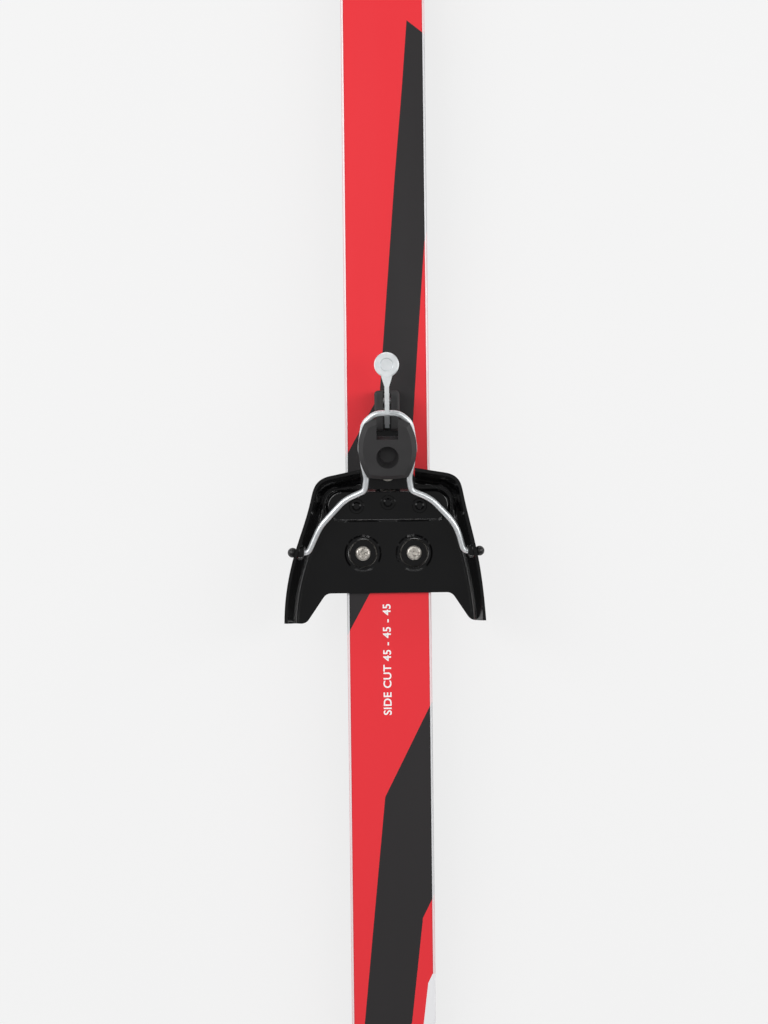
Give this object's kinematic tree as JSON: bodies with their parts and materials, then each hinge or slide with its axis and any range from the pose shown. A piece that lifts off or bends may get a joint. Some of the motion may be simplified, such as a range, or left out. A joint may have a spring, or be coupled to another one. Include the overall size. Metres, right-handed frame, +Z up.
{
  "type": "cross country ski",
  "caption": "Touring cross country ski with a pressed steel three-pin toe binding, a hinged wire bail with a moulded pad and a sprung toothed latch.",
  "frame": {"origin": "on the floor, under the middle of the ski's length and on the ski's centre line", "axes": "+X right, +Y towards the tip, +Z up out of the top face; the ski lies on its base"},
  "size_m": [0.1071, 1.9, 0.0806],
  "materials": {
    "running_black": "sintered black running surface",
    "glass_fibre": "bonded glass fibre laminate",
    "wood_core": "laminated poplar core",
    "top_sheet": "glossy red cap with diagonal black panels",
    "guard_plastic": "moulded black end guards",
    "black_enamel": "glossy black stove enamel on pressed steel",
    "zinc_steel": "bright zinc plated steel",
    "black_moulding": "matt black moulded plastic",
    "pin_black": "black plated steel"
  },
  "bodies": {
    "ski": {"running_base": "running_black", "lower_laminate": "glass_fibre", "wood_core": "wood_core", "upper_laminate": "glass_fibre", "cap_sheet": "top_sheet", "tip_guard": "guard_plastic", "tail_guard": "guard_plastic", "binding_base_plate": "black_enamel", "boot_pins": "pin_black", "mounting_screws": "zinc_steel", "cheek_bush_left": "black_moulding", "cheek_bush_right": "black_moulding", "latch_bracket": "black_moulding", "latch_pin": "zinc_steel", "latch_spring": "zinc_steel"},
    "bail": {"bail_wire": "zinc_steel", "bail_pad": "black_moulding", "bail_end_cap_left": "black_moulding", "bail_end_cap_right": "black_moulding"},
    "latch": {"latch_lever": "zinc_steel"}
  },
  "joints": [
    {"name": "bail_pivot", "type": "hinge", "parent": "ski", "child": "bail", "pos_m": [0, -0.0448, 0.05163], "axis": [1, 0, 0], "range_deg": [0, 110]},
    {"name": "latch_release", "type": "hinge", "parent": "ski", "child": "latch", "pos_m": [0, 0.0356, 0.04813], "axis": [-1, 0, 0], "range_deg": [-4, 20], "stiffness_Nm_per_rad": 0.4}
  ]
}
